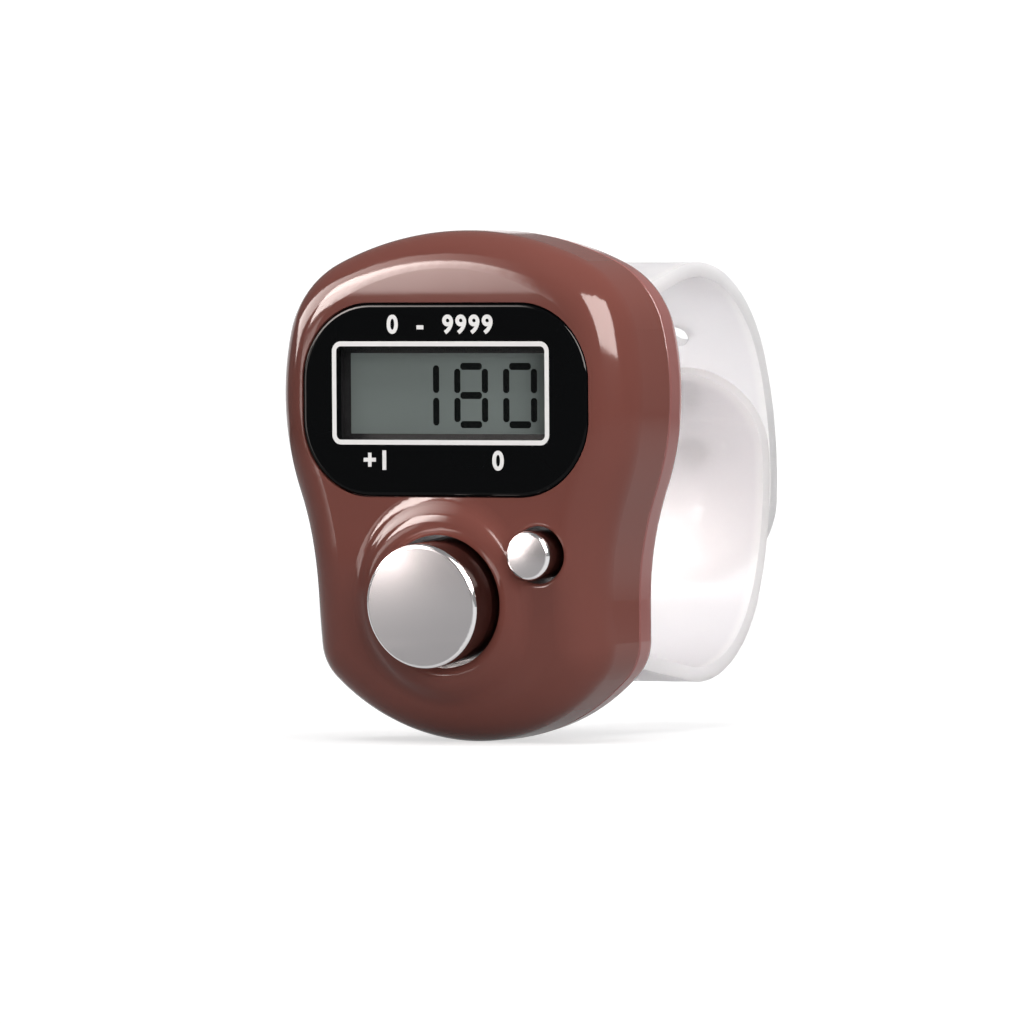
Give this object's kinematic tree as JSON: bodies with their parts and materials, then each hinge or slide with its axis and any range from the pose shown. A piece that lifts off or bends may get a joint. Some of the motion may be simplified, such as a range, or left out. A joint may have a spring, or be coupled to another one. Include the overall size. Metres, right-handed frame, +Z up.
{
  "type": "digital finger tally counter",
  "caption": "Finger-worn digital tally counter: bell-shaped gloss case with a number display, a large round count button, a small reset button and a clear adjustable finger strap.",
  "frame": {"origin": "middle of the flat back face of the case, level with the middle of the finger loop", "axes": "+X to the right of someone reading the display, +Y from the display towards the finger, +Z up"},
  "size_m": [0.0322, 0.0479, 0.0409],
  "materials": {
    "case_plastic": "high gloss moulded, reddish brown",
    "lens_acrylic": "polished, black printed behind",
    "adhesive_tape": "matte",
    "polariser_film": "matte",
    "display_glass": "polished",
    "reflector_film": "satin",
    "frame_plastic": "moulded",
    "connector_elastomer": "matte",
    "board_laminate": "solder mask",
    "chip_resin": "cast",
    "capacitor_ceramic": "fired",
    "resistor_ceramic": "fired",
    "button_chrome": "bright plated plastic",
    "key_silicone": "matte",
    "carbon_rubber": "matte",
    "cell_steel": "plated",
    "contact_steel": "spring sheet",
    "strap_vinyl": "clear milky soft vinyl",
    "screw_steel": "plated"
  },
  "bodies": {
    "case": {"front_shell": "case_plastic", "rear_shell": "case_plastic", "display_lens": "lens_acrylic", "lens_tape": "adhesive_tape", "lcd_polariser": "polariser_film", "lcd_glass": "display_glass", "lcd_reflector": "reflector_film", "lcd_frame": "frame_plastic", "zebra_strip": "connector_elastomer", "circuit_board": "board_laminate", "chip_blob": "chip_resin", "chip_capacitor": "capacitor_ceramic", "chip_resistor": "resistor_ceramic", "count_dome": "key_silicone", "reset_dome": "key_silicone", "button_cell": "cell_steel", "cell_clip": "contact_steel", "cell_contact": "contact_steel", "upper_strap": "strap_vinyl", "lower_strap": "strap_vinyl", "case_screws": "screw_steel", "board_screws": "screw_steel"},
    "count_key": {"count_button": "button_chrome", "count_pill": "carbon_rubber"},
    "reset_key": {"reset_button": "button_chrome", "reset_pill": "carbon_rubber"}
  },
  "joints": [
    {"name": "count_press", "type": "slide", "parent": "case", "child": "count_key", "axis": [0, 0.9959, 0.091], "range_m": [0, 0.001], "stiffness_N_per_m": 900, "springref_m": -0.0008, "deforming": ["count_dome"]},
    {"name": "reset_press", "type": "slide", "parent": "case", "child": "reset_key", "axis": [0, 0.9999, 0.016], "range_m": [0, 0.0007], "stiffness_N_per_m": 900, "springref_m": -0.0006, "deforming": ["reset_dome"]}
  ]
}
